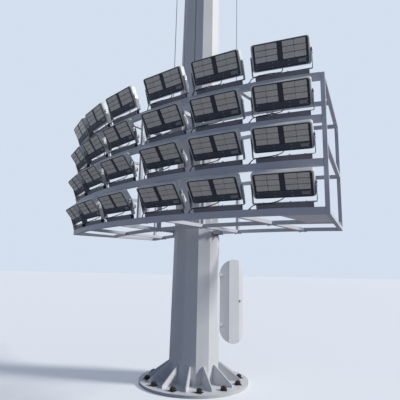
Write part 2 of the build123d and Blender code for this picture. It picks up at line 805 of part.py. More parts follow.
def lead_glands():
    glands = []
    tilt = Plane(origin=entry_point(-ENTRY_L), z_dir=ENTRY_DIR)
    foot = tilt.location * gland(2 * ENTRY_L)
    foot -= Pos(ENTRY[0], ENTRY[1], -ENTRY_L) * Box(4 * ENTRY_L, 4 * ENTRY_L, 2 * ENTRY_L)
    for row in range(4):
        top = driver_mouth(row, GLAND_L) * gland(GLAND_L)
        for place in lamp_places(row):
            glands += [place * top, place * foot]
    return join(glands)


# Hand-laid points between the first straight run and the last, top row first
DROPS = (
    ((-12, 45, 108), (-62, -16, 76)),
    ((-12, 66, 127), (-60, -2, 84)),
    ((-12, 76, 136), (-58, 4, 90)),
    ((-12, 76, 134), (-58, 4, 90)),
)
ALONG = ((-125, -57, 58), (-205, -62, 52), (-285, -58, 49))


def lead_route(row):
    # Out of the driver box, down to the front of the seat, along it and into the beam
    points = [driver_mouth(row, GLAND_L).position, driver_mouth(row, GLAND_L + 50).position]
    points += [Vector(*p) for p in DROPS[row] + ALONG]
    return points + [entry_point(ENTRY_L + 58), entry_point(ENTRY_L)]


def bend_radii(points):
    # Each bend as wide as its two straight runs allow
    radii = []
    for a, b, c in zip(points, points[1:], points[2:]):
        turn = math.radians((b - a).get_angle(c - b))
        radii.append(0.45 * min((b - a).length, (c - b).length) / math.tan(turn / 2))
    return radii


def lamp_lead(row):
    points = lead_route(row)
    radii = bend_radii(points)
    print("lead bends", row + 1, [round(r) for r in radii])
    path = FilletPolyline(*points, radius=radii)
    start = Plane(origin=points[0], z_dir=points[1] - points[0])
    return sweep(start * RegularPolygon(LEAD_R, 6), path=path)


def lamp_leads():
    leads = []
    for row in range(4):
        one = lamp_lead(row)
        leads += [place * one for place in lamp_places(row)]
    return join(leads)


save(base_flange(), "base_flange", "mast_paint")
save(base_ribs(), "base_ribs", "mast_paint")
save(anchor_nuts(), "anchor_nuts", "fastener_steel")
save(mast_lower(), "mast_lower", "mast_paint")
save(mast_middle(), "mast_middle", "mast_paint")
save(mast_upper(), "mast_upper", "mast_paint")
save(door_frame(), "door_frame", "mast_paint")
save(door_hinge_posts(), "door_hinge_posts", "mast_paint")
save(winch_frame(), "winch_frame", "winch_paint")
save(winch_drum(), "winch_drum", "zinc_steel")
save(winch_gearbox(), "winch_gearbox", "winch_paint")
save(main_rope(), "main_rope", "rope_wire")
save(head_frame(), "head_frame", "mast_paint")
save(head_pulleys(), "head_pulleys", "zinc_steel")
save(head_hood(), "head_hood", "mast_paint")
save(lightning_rod(), "lightning_rod", "zinc_steel")
save(hoist_ropes(), "hoist_ropes", "rope_wire")
save(supply_cable(), "supply_cable", "cable_rubber")
for row in range(4):
    save(row_beam(row), "row_beam_%d" % (row + 1), "rack_paint")
save(front_posts(), "front_posts", "rack_paint")
save(mid_arcs(), "mid_arcs", "rack_paint")
save(rear_arcs(), "rear_arcs", "rack_paint")
save(end_frame(-1), "end_frame_left", "rack_paint")
save(end_frame(1), "end_frame_right", "rack_paint")
save(mast_cage(), "mast_cage", "rack_paint")
save(roller_brackets(), "roller_brackets", "rack_paint")
save(guide_rollers(), "guide_rollers", "roller_rubber")
save(rope_anchors(), "rope_anchors", "zinc_steel")
save(floor_plates(), "floor_plates", "rack_paint")
save(junction_box(), "junction_box", "box_grey")
for row in range(4):
    save(yokes(row), "yokes_row_%d" % (row + 1), "yoke_grey")
    save(lamp_housings(row), "lamp_housings_row_%d" % (row + 1), "lamp_dark")
save(lamp_lenses(), "lamp_lenses", "lens_panel")
save(yoke_seats(), "yoke_seats", "yoke_grey")
save(lead_glands(), "lead_glands", "cable_rubber")
save(lamp_leads(), "lamp_leads", "cable_rubber")
save(door_panel(), "door_panel", "mast_paint")
save(door_hinge_leaves(), "door_hinge_leaves", "mast_paint")
save(door_lock(), "door_lock", "zinc_steel")
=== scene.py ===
import bpy
import bmesh
import json
import math
from mathutils import Matrix, Vector


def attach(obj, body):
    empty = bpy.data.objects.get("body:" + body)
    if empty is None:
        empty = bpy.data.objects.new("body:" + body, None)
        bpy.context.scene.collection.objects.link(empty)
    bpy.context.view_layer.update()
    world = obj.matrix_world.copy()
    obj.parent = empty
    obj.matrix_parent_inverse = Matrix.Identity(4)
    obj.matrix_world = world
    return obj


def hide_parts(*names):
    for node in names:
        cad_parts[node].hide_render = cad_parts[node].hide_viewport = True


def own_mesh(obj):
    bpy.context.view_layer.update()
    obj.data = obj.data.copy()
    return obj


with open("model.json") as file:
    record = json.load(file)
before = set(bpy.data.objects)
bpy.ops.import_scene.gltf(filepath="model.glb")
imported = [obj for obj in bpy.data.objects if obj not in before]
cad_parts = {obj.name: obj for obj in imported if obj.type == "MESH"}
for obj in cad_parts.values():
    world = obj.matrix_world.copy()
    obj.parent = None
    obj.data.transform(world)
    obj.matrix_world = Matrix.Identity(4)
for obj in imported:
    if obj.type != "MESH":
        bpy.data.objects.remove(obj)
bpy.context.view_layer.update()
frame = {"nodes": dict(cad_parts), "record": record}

MM = 0.001
scene = bpy.context.scene

# The camera that the photograph was taken with, fitted to the lamps' corners
CAMERA_AT = Vector((4.05414, -4.65774, 1.63031))
TOWARDS_MAST = Vector((-0.6566, 0.7543, 0.0)).normalized()
PITCH = math.radians(10.70)
ROLL = math.radians(1.28)
YAW = math.radians(0.34)
FOCAL_PX = 380.2
IMAGE_PX = 400
SENSOR_MM = 36
VIEW_END_M = 200

# Sizes repeated from the CAD source, in millimetres and degrees
BEAM_R = 6172.0
ARC_CENTRE_Y = BEAM_R - 1216.0
MID_R = 5386.0
REAR_R = 4500.0
BAR = 50
ROW_TOPS = (3918.0, 3403.0, 2891.0, 2348.0)
AIM = (28.0, 36.0, 40.0, 39.0)
COLUMN_PITCH = 820.0
MIDDLE_EXTRA = 63.0
LAMP_W = 690.0
LAMP_H = 317.0
FACE_W = 646.0
FACE_H = 305.0
BACK_W = 620.0
BACK_H = 281.0
FACE = -45.0
BACK = 55.0
BULGE = 24.0
LEAN = 20.0
SEAT_Y = -16.0
SEAT_Z = 59.0
PIVOT_RISE = 216.0


# Camera
def make_camera():
    side = Vector((-TOWARDS_MAST.y, TOWARDS_MAST.x, 0)) * -1
    flat = TOWARDS_MAST * math.cos(YAW) + side * math.sin(YAW)
    look = flat * math.cos(PITCH) + Vector((0, 0, math.sin(PITCH)))
    right = side * math.cos(YAW) - TOWARDS_MAST * math.sin(YAW)
    up = right.cross(look)
    x_axis = right * math.cos(ROLL) + up * math.sin(ROLL)
    y_axis = up * math.cos(ROLL) - right * math.sin(ROLL)
    data = bpy.data.cameras.new("photo_camera")
    data.sensor_width = SENSOR_MM
    data.lens = FOCAL_PX / IMAGE_PX * SENSOR_MM
    data.clip_end = VIEW_END_M
    camera = bpy.data.objects.new("photo_camera", data)
    scene.collection.objects.link(camera)
    turn = Matrix((x_axis, y_axis, -look)).transposed()
    camera.matrix_world = Matrix.Translation(CAMERA_AT) @ turn.to_4x4()
    scene.camera = camera


make_camera()


# Materials
class Shader:
    # A short way to build one node material
    def __init__(self, name):
        self.mat = bpy.data.materials.new(name)
        self.mat.use_nodes = True
        self.tree = self.mat.node_tree
        self.bsdf = self.tree.nodes["Principled BSDF"]
        self.coords = self.tree.nodes.new("ShaderNodeTexCoord")

    def edges(self, radius):
        # Rounds off the sharp edges of a flat-sided mesh in the shading
        node = self.tree.nodes.new("ShaderNodeBevel")
        node.samples = 4
        node.inputs["Radius"].default_value = radius
        return node.outputs["Normal"]

    def link(self, a, b):
        self.tree.links.new(a, b)

    def noise(self, scale, detail=3.0, rough=0.55, stretch=None):
        node = self.tree.nodes.new("ShaderNodeTexNoise")
        node.inputs["Scale"].default_value = scale
        node.inputs["Detail"].default_value = detail
        node.inputs["Roughness"].default_value = rough
        out = self.coords.outputs["Object"]
        if stretch:
            mapping = self.tree.nodes.new("ShaderNodeMapping")
            mapping.inputs["Scale"].default_value = stretch
            self.link(out, mapping.inputs["Vector"])
            out = mapping.outputs["Vector"]
        self.link(out, node.inputs["Vector"])
        return node.outputs["Fac"]

    def cells(self, scale):
        # One random colour for each cell
        node = self.tree.nodes.new("ShaderNodeTexVoronoi")
        node.inputs["Scale"].default_value = scale
        self.link(self.coords.outputs["Object"], node.inputs["Vector"])
        return node.outputs["Color"]

    def ramp(self, fac, stops):
        node = self.tree.nodes.new("ShaderNodeValToRGB")
        line = node.color_ramp
        while len(line.elements) < len(stops):
            line.elements.new(0.5)
        for element, (place, colour) in zip(line.elements, stops):
            element.position = place
            element.color = (*colour, 1)
        self.link(fac, node.inputs["Fac"])
        return node.outputs["Color"]

    def math(self, op, a, b=None, clamp=False):
        node = self.tree.nodes.new("ShaderNodeMath")
        node.operation = op
        node.use_clamp = clamp
        for k, value in enumerate((a, b)):
            if value is None:
                continue
            if isinstance(value, (int, float)):
                node.inputs[k].default_value = value
            else:
                self.link(value, node.inputs[k])
        return node.outputs[0]

    def mix(self, fac, a, b):
        node = self.tree.nodes.new("ShaderNodeMix")
        node.data_type = "RGBA"
        for socket, value in ((node.inputs[0], fac), (node.inputs[6], a), (node.inputs[7], b)):
            if isinstance(value, (int, float)):
                socket.default_value = value
            elif isinstance(value, tuple):
                socket.default_value = (*value, 1)
            else:
                self.link(value, socket)
        return node.outputs[2]

    def axis(self, index, source="Object"):
        node = self.tree.nodes.new("ShaderNodeSeparateXYZ")
        self.link(self.coords.outputs[source], node.inputs[0])
        return node.outputs[index]

    def span(self, value, low, high, to_low=0.0, to_high=1.0):
        node = self.tree.nodes.new("ShaderNodeMapRange")
        node.inputs["From Min"].default_value = low
        node.inputs["From Max"].default_value = high
        node.inputs["To Min"].default_value = to_low
        node.inputs["To Max"].default_value = to_high
        self.link(value, node.inputs["Value"])
        return node.outputs["Result"]

    def bump(self, height, distance, strength=1.0, below=None):
        node = self.tree.nodes.new("ShaderNodeBump")
        node.inputs["Strength"].default_value = strength
        node.inputs["Distance"].default_value = distance
        self.link(height, node.inputs["Height"])
        if below is not None:
            self.link(below, node.inputs["Normal"])
        return node.outputs["Normal"]

    def finish(self, colour, rough, normal, **values):
        # Joins up the surface; rough is a number or a node's output
        sockets = self.bsdf.inputs
        self.link(colour, sockets["Base Color"])
        if isinstance(rough, float):
            sockets["Roughness"].default_value = rough
        else:
            self.link(rough, sockets["Roughness"])
        self.link(normal, sockets["Normal"])
        for key, value in values.items():
            sockets[key.replace("_", " ").title().replace("Ior", "IOR")].default_value = value
        return self.mat


def shade(colour, factor):
    return tuple(c * factor for c in colour)


def coated_steel(name, base, dirt=0.0):
    # Sprayed satin coating: slight mottle, rain streaks, orange peel, dust at the foot
    s = Shader(name)
    rough = 0.42
    mottle = s.ramp(s.noise(2.2, 4), [(0.3, shade(base, 0.93)), (0.7, base)])
    streak = s.noise(9, 3, 0.6, (1, 1, 0.05))
    colour = s.mix(s.span(streak, 0.55, 0.8, 0, 0.16), mottle, shade(base, 0.72))
    if dirt:
        low = s.span(s.axis(2), 0.05, 0.75, dirt, 0.0)
        dust = s.math("MULTIPLY", low, s.span(s.noise(14, 5, 0.7), 0.3, 0.75))
        colour = s.mix(dust, colour, (0.42, 0.35, 0.27))
    peel = s.noise(420, 2)
    waves = s.noise(5, 2)
    normal = s.bump(waves, 0.004, 0.25, s.edges(0.004))
    normal = s.bump(peel, 0.0003, 0.5, normal)
    sheen = s.span(s.noise(30, 3), 0.3, 0.7, rough - 0.07, rough + 0.1)
    return s.finish(colour, sheen, normal, specular_ior_level=0.3)


def powder_coat(name, base, rough=0.5):
    s = Shader(name)
    colour = s.ramp(s.noise(7, 4), [(0.3, shade(base, 0.86)), (0.72, shade(base, 1.1))])
    dust = s.noise(26, 5, 0.7)
    colour = s.mix(s.span(dust, 0.55, 0.85, 0, 0.12), colour, (0.5, 0.47, 0.42))
    normal = s.bump(s.noise(900, 2), 0.0003, 0.7)
    return s.finish(colour, s.span(dust, 0.3, 0.8, rough - 0.08, rough + 0.1), normal)


def zinc(name):
    # Zinc with its crystal flakes
    s = Shader(name)
    base = (0.55, 0.57, 0.59)
    rough = 0.38
    grey = s.tree.nodes.new("ShaderNodeRGBToBW")
    s.link(s.cells(55), grey.inputs[0])
    colour = s.ramp(grey.outputs[0], [(0.2, shade(base, 0.78)), (0.8, shade(base, 1.12))])
    colour = s.mix(s.span(s.noise(12, 4), 0.5, 0.8, 0, 0.35), colour, (0.62, 0.62, 0.61))
    return s.finish(colour, s.span(grey.outputs[0], 0, 1, rough - 0.08, rough + 0.14),
                    s.bump(s.noise(160, 3), 0.0004, 0.4), metallic=0.85)


def dark_fastener(name):
    s = Shader(name)
    rust = s.noise(45, 5, 0.65)
    colour = s.ramp(rust, [(0.35, (0.022, 0.021, 0.022)), (0.62, (0.045, 0.035, 0.03)),
                           (0.85, (0.12, 0.06, 0.035))])
    normal = s.bump(s.noise(300, 4), 0.0006, 0.8)
    return s.finish(colour, s.span(rust, 0.3, 0.8, 0.42, 0.8), normal, metallic=0.55)


def machine_enamel(name, base):
    s = Shader(name)
    colour = s.ramp(s.noise(9, 4), [(0.3, shade(base, 0.8)), (0.7, shade(base, 1.15))])
    grease = s.noise(18, 5, 0.7)
    colour = s.mix(s.span(grease, 0.6, 0.8, 0, 0.5), colour, (0.03, 0.03, 0.03))
    normal = s.bump(s.noise(250, 2), 0.0005, 0.5)
    return s.finish(colour, s.span(grease, 0.3, 0.8, 0.28, 0.55), normal)


def rubber(name, base):
    s = Shader(name)
    colour = s.ramp(s.noise(35, 4), [(0.3, shade(base, 0.8)), (0.75, shade(base, 1.5))])
    return s.finish(colour, 0.7, s.bump(s.noise(500, 2), 0.0003, 0.6))


def wire_rope(name, level=1.0):
    # Strands that wind round the rope: u goes round, v along, in metres
    s = Shader(name)
    strands = 6.0
    lay_length = 0.085
    wires_a_metre = 260.0
    u = s.axis(0, "UV")
    v = s.axis(1, "UV")
    lay = s.math("ADD", s.math("MULTIPLY", u, strands), s.math("MULTIPLY", v, strands / lay_length))
    strand = s.math("ABSOLUTE", s.math("SINE", s.math("MULTIPLY", lay, math.pi)))
    wires = s.math("SUBTRACT", s.math("MULTIPLY", u, 3 * strands),
                   s.math("MULTIPLY", v, wires_a_metre))
    fine = s.math("ABSOLUTE", s.math("SINE", s.math("MULTIPLY", wires, math.pi)))
    height = s.math("ADD", strand, s.math("MULTIPLY", fine, 0.25))
    # The tones follow the strands' height: darker in the grooves as painted shade, lighter on the
    # crowns as painted highlight; level scales them all
    tones = ((0.0, (0.25, 0.26, 0.27)), (0.5, (0.62, 0.64, 0.66)), (1.0, (0.80, 0.81, 0.83)))
    colour = s.ramp(strand, [(at, shade(tone, level)) for at, tone in tones])
    return s.finish(colour, 0.5, s.bump(height, 0.0006, 0.4), metallic=0.1)


def lens_optic(name):
    # Clear cover over rows of small moulded lenses, each over a yellowish chip
    s = Shader(name)
    pitch = 0.0165
    past_zero = 2.0
    x = s.math("FRACT", s.math("DIVIDE", s.math("ADD", s.axis(0), past_zero), pitch))
    z = s.math("FRACT", s.math("DIVIDE", s.math("ADD", s.axis(2), past_zero), pitch))
    dx = s.math("SUBTRACT", x, 0.5)
    dz = s.math("SUBTRACT", z, 0.5)
    r = s.math("SQRT", s.math("ADD", s.math("MULTIPLY", dx, dx), s.math("MULTIPLY", dz, dz)))
    dome = s.math("SUBTRACT", 1.0, s.math("MULTIPLY", r, 2.2), clamp=True)
    chip = s.ramp(r, [(0.0, (0.94, 0.86, 0.58)), (0.16, (0.92, 0.85, 0.68)),
                      (0.24, (0.88, 0.84, 0.78)), (0.46, (0.84, 0.80, 0.75)),
                      (0.5, (0.60, 0.58, 0.56))])
    grime = s.noise(11, 5, 0.65)
    colour = s.mix(s.span(grime, 0.45, 0.8, 0, 0.35), chip, (0.32, 0.29, 0.27))
    normal = s.bump(s.math("SQRT", dome), 0.004, 0.7)
    return s.finish(colour, 0.3, normal, coat_weight=0.5, coat_roughness=0.15)


# One material for each slot of the record, and the scene's own tones below them
MATS = {
    "mast_paint": coated_steel("mast_coating", (0.70, 0.72, 0.76), dirt=0.3),
    "rack_paint": coated_steel("rack_coating", (0.60, 0.62, 0.69)),
    "fastener_steel": dark_fastener("dark_fastener"),
    "zinc_steel": zinc("zinc_steel"),
    "winch_paint": machine_enamel("winch_enamel", (0.06, 0.16, 0.24)),
    "rope_wire": wire_rope("wire_rope"),
    "cable_rubber": rubber("cable_sheath", (0.025, 0.025, 0.03)),
    "roller_rubber": rubber("roller_rubber", (0.03, 0.03, 0.032)),
    "box_grey": powder_coat("box_coating", (0.33, 0.35, 0.38)),
    "yoke_grey": powder_coat("yoke_coating", (0.15, 0.16, 0.20)),
    "lamp_dark": powder_coat("lamp_coating", (0.030, 0.038, 0.065)),
    "lens_panel": lens_optic("lens_optic"),
}
LABEL = powder_coat("bare_label", (0.30, 0.31, 0.33), 0.4)
CASTING = powder_coat("lamp_casting", (0.76, 0.76, 0.75), 0.45)
COVER = powder_coat("lamp_cover", (0.070, 0.085, 0.115))
# The seats' dark grey-brown is painted shade: the shade under the lamps laid into their coating
SHADED_SEAT = powder_coat("seat_painted_shade", (0.215, 0.205, 0.235))
# A paler, bluer coating for the floor plates: painted light on their undersides
LIT_SHEET = coated_steel("sheet_painted_light", (0.84, 0.83, 0.90))
# A grey sheath much paler than the black cable rubber: painted sunlight on the supply cable
LIT_SHEATH = rubber("sheath_painted_light", (0.42, 0.42, 0.44))
# The wire rope darkened to a fifth of its tones: painted shade, not grease
SHADED_ROPE = wire_rope("rope_painted_shade", 0.18)
RIB = powder_coat("lamp_rib", (0.050, 0.048, 0.072))

for entry in frame["record"]["subparts"]:
    node = frame["nodes"][entry["node"]]
    node.data.materials.clear()
    # The floor plates take that paler coating, which holds painted light
    finish = LIT_SHEET if entry["node"] == "floor_plates" else MATS[entry["material_slot"]]
    node.data.materials.append(finish)


# Meshes
def soft(width, height, corner, steps=6):
    # Outline of a round-cornered rectangle about the middle, in x and z
    points = []
    for sx, sz, start in ((1, 1, 0), (-1, 1, 90), (-1, -1, 180), (1, -1, 270)):
        x = sx * (width / 2 - corner)
        z = sz * (height / 2 - corner)
        for k in range(steps + 1):
            a = math.radians(start + 90 * k / steps)
            points.append((x + corner * math.cos(a), z + corner * math.sin(a)))
    return points


def rounded(x0, x1, z0, z1, corner, steps):
    # The same outline between given sides
    cx = (x0 + x1) / 2
    cz = (z0 + z1) / 2
    return [(x + cx, z + cz) for x, z in soft(x1 - x0, z1 - z0, corner, steps)]


class Sculpt:
    # Collects faces in millimetres, with one material index for each shape
    def __init__(self):
        self.bm = bmesh.new()

    def loops(self, rings, material=0, caps=True, smooth=False, closed=False):
        # Skin over loops of equal length, first and last capped or joined to a ring
        verts = [[self.bm.verts.new(Vector(p) * MM) for p in ring] for ring in rings]
        pairs = list(zip(verts, verts[1:]))
        if closed:
            pairs.append((verts[-1], verts[0]))
        made = []
        for a, b in pairs:
            for k in range(len(a)):
                n = (k + 1) % len(a)
                made.append(self.bm.faces.new((a[k], a[n], b[n], b[k])))
        for f in made:
            f.smooth = smooth
        if caps and not closed:
            made.append(self.bm.faces.new(list(reversed(verts[0]))))
            made.append(self.bm.faces.new(verts[-1]))
        for f in made:
            f.material_index = material

    def plate(self, outline, y_back, y_front, edge, material):
        # A plate across y whose front edge is eased
        cx = sum(p[0] for p in outline) / len(outline)
        cz = sum(p[1] for p in outline) / len(outline)
        inner = []
        for x, z in outline:
            inner.append((x - math.copysign(edge, x - cx), z - math.copysign(edge, z - cz)))
        step = edge if y_front < y_back else -edge
        rings = [[(x, y_back, z) for x, z in outline], [(x, y_front + step, z) for x, z in outline],
                 [(x, y_front, z) for x, z in inner]]
        self.loops(rings, material)

    def box(self, x0, x1, y0, y1, z0, z1, edge, material):
        self.plate([(x1, z1), (x0, z1), (x0, z0), (x1, z0)], y1, y0, edge, material)

    def slab(self, outline, x0, x1, material):
        # A flat shape in y and z, between two places on x
        self.loops([[(x0, y, z) for y, z in outline], [(x1, y, z) for y, z in outline]], material)

    def tube(self, p, q, radius, sides, material, end=None, turn=0.0):
        # A round bar from p to q; end is its radius at q
        a, b = Vector(p), Vector(q)
        axis = (b - a).normalized()
        side = axis.orthogonal().normalized()
        up = axis.cross(side)
        end = radius if end is None else end
        rings = []
        for centre, r in ((a, radius), (b, end)):
            ring = []
            for k in range(sides):
                t = 2 * math.pi * k / sides + turn
                ring.append(centre + side * r * math.cos(t) + up * r * math.sin(t))
            rings.append(ring)
        self.loops(rings, material, smooth=sides > 6)

    def turned(self, at, axis, profile, sides, material):
        # A turned shape: profile gives distances along the axis with their radii
        d = Vector(axis).normalized()
        side = d.orthogonal().normalized()
        up = d.cross(side)
        rings = []
        for along, r in profile:
            centre = Vector(at) + d * along
            turns = [2 * math.pi * k / sides for k in range(sides)]
            rings.append([centre + side * r * math.cos(t) + up * r * math.sin(t) for t in turns])
        self.loops(rings, material, smooth=True)

    def bolt(self, at, axis, flats, height, material=0, washer=True):
        # Hexagon head with a chamfered top, on a washer
        p = Vector(at)
        d = Vector(axis).normalized()
        if washer:
            self.tube(p, p + d * 2, flats * 0.95, 14, material)
            p = p + d * 2
        r = flats / 2 / math.cos(math.pi / 6)
        self.tube(p, p + d * height * 0.85, r, 6, material, turn=0.3)
        self.tube(p + d * height * 0.85, p + d * height, r, 6, material, end=r * 0.84, turn=0.3)

    def bead(self, p, q, radius):
        # A weld: a low round run with small ripples
        a, b = Vector(p), Vector(q)
        count = max(2, int((b - a).length / (radius * 2.5)))
        for k in range(count):
            start = a.lerp(b, k / count)
            end = a.lerp(b, (k + 1) / count)
            self.tube(start, end, radius, 6, 0, end=radius * 0.85)

    def mesh(self, name, materials):
        bmesh.ops.recalc_face_normals(self.bm, faces=self.bm.faces)
        made = bpy.data.meshes.new(name)
        self.bm.to_mesh(made)
        self.bm.free()
        for m in materials:
            made.materials.append(m)
        return made


def place(name, mesh, body, matrix, slot, instead=()):
    # A piece that rides on a body, in place of the CAD nodes that it stands for; the slot argument
    # is not used
    made = bpy.data.objects.new(name, mesh)
    scene.collection.objects.link(made)
    if matrix is not None:
        made.matrix_world = matrix
    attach(made, body)
    if instead:
        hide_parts(*instead)
    return made


def shift(x, y, z):
    return Matrix.Translation(Vector((x, y, z)) * MM)


def tilt(degrees, axis="X"):
    return Matrix.Rotation(math.radians(degrees), 4, axis)


def arc_y(radius, x):
    return ARC_CENTRE_Y - math.sqrt(radius * radius - x * x)


def on_rack(radius, degrees, z):
    a = math.radians(degrees)
    return shift(radius * math.sin(a), ARC_CENTRE_Y - radius * math.cos(a), z) @ tilt(degrees, "Z")


PIVOT_R = BEAM_R + PIVOT_RISE * math.sin(math.radians(LEAN)) - SEAT_Y


def lamp_spots():
    # Each lamp's place on its beam, from left to right and from the top down
    step = 2 * math.degrees(math.asin(COLUMN_PITCH / 2 / PIVOT_R))
    first = math.degrees(math.asin(MIDDLE_EXTRA / PIVOT_R))
    for row in range(4):
        for column in range(6):
            k = column - 2.5
            angle = math.copysign(first, k) + step * k
            yield row, column, on_rack(BEAM_R, angle, ROW_TOPS[row])


ON_SEAT = shift(0, SEAT_Y, SEAT_Z) @ tilt(LEAN)


def aimed(row):
    return ON_SEAT @ shift(0, 0, PIVOT_RISE) @ tilt(AIM[row] - LEAN)


# The floodlights
def lamp_mesh():
    s = Sculpt()
    dark, lens, label, screw, cast, rib, cover = range(7)
    floor = FACE + 4.6
    # cast body: its sides swell and round off behind the face
    steps = 6
    rings = []
    for k in range(steps + 1):
        a = math.radians(90 * k / steps)
        w = BACK_W + (LAMP_W - BACK_W) * math.sin(a)
        h = BACK_H + (LAMP_H - BACK_H) * math.sin(a)
        y = BACK - BULGE * (1 - math.cos(a))
        rings.append([(x, y, z) for x, z in soft(w, h, 30)])
    for k in range(steps, -1, -1):
        a = math.radians(90 * k / steps)
        w = FACE_W + (LAMP_W - FACE_W) * math.sin(a)
        h = FACE_H + (LAMP_H - FACE_H) * math.sin(a)
        y = FACE + 2 + (BULGE - 2) * (1 - math.cos(a))
        rings.append([(x, y, z) for x, z in soft(w, h, 30)])
    rings.append([(x, FACE + 5, z) for x, z in soft(FACE_W - 12, FACE_H - 12, 24)])
    s.loops(rings, cast, smooth=True)
    # dark bezel, recessed floor, middle rib
    rim = ((1, 2.4, 30), (1, 0.8, 30), (4, -0.4, 29), (25, -0.4, 18), (28, 0.8, 17), (28, 5.4, 17))
    s.loops([[(x, FACE + y, z) for x, z in soft(FACE_W - less, FACE_H - less, corner)]
             for less, y, corner in rim], dark, caps=False)
    s.plate(soft(FACE_W - 26, FACE_H - 26, 17, 4), FACE + 5.6, floor, 0.3, dark)
    s.plate(rounded(-29, 29, -66, 141, 4, 2), floor, FACE - 0.8, 2.0, rib)
    # two panels of three lens strips, each strip in two halves
    strip_w, strip_h, strip_pitch, half_pitch = 131, 62.5, 68.5, 134
    for side in (-1, 1):
        for strip in range(3):
            top = 140.5 - strip * strip_pitch
            for half in range(2):
                x0 = side * (31.5 + half * half_pitch)
                x1 = side * (31.5 + half * half_pitch + strip_w)
                outline = rounded(min(x0, x1), max(x0, x1), top - strip_h, top, 5, 3)
                s.plate(outline, floor, FACE + 0.6, 1.2, lens)
                for z in (top - 4.5, top - 58):
                    for x in (x0 + side * 4.5, x1 - side * 4.5):
                        s.tube((x, FACE + 0.6, z), (x, FACE - 0.4, z), 2.6, 8, screw)
    # cover below the panels, with its screws and the bare plate
    outline = rounded(-FACE_W / 2 + 15, FACE_W / 2 - 15, -FACE_H / 2 + 14, -70, 10, 3)
    s.plate(outline, floor, FACE - 1.6, 3.0, cover)
    for x in (-288, -96, 96, 288):
        for z in (-128, -82):
            s.turned((x, FACE - 1.6, z), (0, -1, 0), ((0, 4.5), (1.6, 4.2), (2.4, 2.6)), 10, screw)
    s.plate(rounded(200.5, 285.5, -121, -83, 3, 2), FACE - 1.6, FACE - 2.6, 0.4, label)
    # cooling fins with bevelled ends
    fins, fin_pitch, fin_half = 21, 28, 1.7
    fin = [(52, -118), (73, -118), (81, -104), (81, 104), (73, 118), (52, 118)]
    for k in range(fins):
        x = -280 + fin_pitch * k
        s.slab(fin, x - fin_half, x + fin_half, cast)
    # driver box with cooling ribs and its lid screws
    box = ((51, 0), (100, 0), (108, 2.5), (112, 8))
    s.loops([[(x, y, z - 18) for x, z in soft(250 - 2 * d, 160 - 2 * d, 12, 4)] for y, d in box],
            dark)
    for k in range(9):
        x = -88 + 22 * k
        s.plate(rounded(x - 3, x + 3, -84, 48, 2.9, 3), 111, 117, 1.2, dark)
    for x in (-112, 112):
        for z in (-86, 50):
            s.turned((x, 106, z), (0, 1, 0), ((0, 5), (5, 5), (6.5, 3)), 10, screw)
    # bosses that the yoke's bolts go into
    for side in (-1, 1):
        profile = ((-6, 27), (3, 24), (7.4, 20), (7.6, 16))
        s.turned((side * 343, 0, 0), (side, 0, 0), profile, 20, cast)
    return s.mesh("lamp_pattern", [MATS["lamp_dark"], MATS["lens_panel"], LABEL, MATS["zinc_steel"],
                                   CASTING, RIB, COVER])


def yoke_mesh():
    # Flat bar bent to a U with round arm ends, its pivot bolts, angle plate and foot bolts
    s = Sculpt()
    outer = LAMP_W / 2 + 12
    thick = 6
    bend = 16
    half = []

    def section(x_out, z_out, wide, x_in, z_in):
        half.append([(x_out, -wide, z_out), (x_out, wide, z_out), (x_in, wide, z_in),
                     (x_in, -wide, z_in)])

    for k in range(5, -1, -1):
        a = math.pi / 2 * k / 5
        z = PIVOT_RISE + 5 + 20 * math.sin(a)
        section(outer, z, 10 + 20 * math.cos(a), outer - thick, z)
    for k in range(7):
        a = math.radians(15 * k)
        section(outer - bend + bend * math.cos(a), bend - bend * math.sin(a), 30,
                outer - bend + (bend - thick) * math.cos(a), bend - (bend - thick) * math.sin(a))
    other = [[(-x, y, z) for x, y, z in ring] for ring in reversed(half)]
    s.loops(half + other, 0)

    def sweep(radius, degrees):
        # Points on an arc below the pivot, in y and z
        turns = [math.radians(t) for t in degrees]
        return [(radius * math.sin(t), PIVOT_RISE - radius * math.cos(t)) for t in turns]

    for side in (-1, 1):
        s.bolt((side * outer, 0, PIVOT_RISE), (side, 0, 0), 22, 8, 1)
        s.turned((side * (outer - thick), 0, PIVOT_RISE), (-side, 0, 0),
                 ((0, 15), (3, 15), (5.5, 12)), 16, 1)
        # angle plate with its locking screw
        plate_out = outer + 2.5
        outline = sweep(44, range(-35, 36, 10)) + sweep(28, range(35, -36, -10))
        s.slab(outline, side * outer, side * plate_out, 1)
        s.bolt((side * plate_out, 0, PIVOT_RISE - 36), (side, 0, 0), 13, 5, 1)
    for x in (-70, 70):
        s.bolt((x, 0, 6), (0, 0, 1), 19, 10, 1)
    return s.mesh("yoke_pattern", [MATS["yoke_grey"], MATS["zinc_steel"]])


def seat_mesh():
    # Folded channel on the beam's flat top, with its bolts and the clips that hold the lead
    s = Sculpt()
    c = math.cos(math.radians(LEAN))
    n = math.sin(math.radians(LEAN))
    end = 315
    foot, half_top, wall = 30, 32, 4
    corners = [(-foot, 0), (SEAT_Y - half_top * c, SEAT_Z - half_top * n),
               (SEAT_Y + half_top * c, SEAT_Z + half_top * n), (foot, 0)]
    outline = eased(corners, 5)
    hollow = eased(inset(corners, wall), 2)
    sections = ((-end, outline), (end, outline), (end, hollow), (-end, hollow))
    s.loops([[(x, y, z) for y, z in shape] for x, shape in sections], 0, closed=True)
    for x in (-240, 240):
        s.bolt((x, 8, 68), (0, -n, c), 19, 8, 1)
    for x in (-262, -205, -150):
        profile = ((0, 7.4), (1, 8), (9, 8), (10, 7.4))
        s.turned((x - 5, -60.5, 51), (1, 0, 0), profile, 14, 2)
        s.box(x - 6, x + 6, -56, -42, 43, 46, 0.5, 1)
    return s.mesh("seat_pattern", [SHADED_SEAT, MATS["zinc_steel"], MATS["cable_rubber"]])


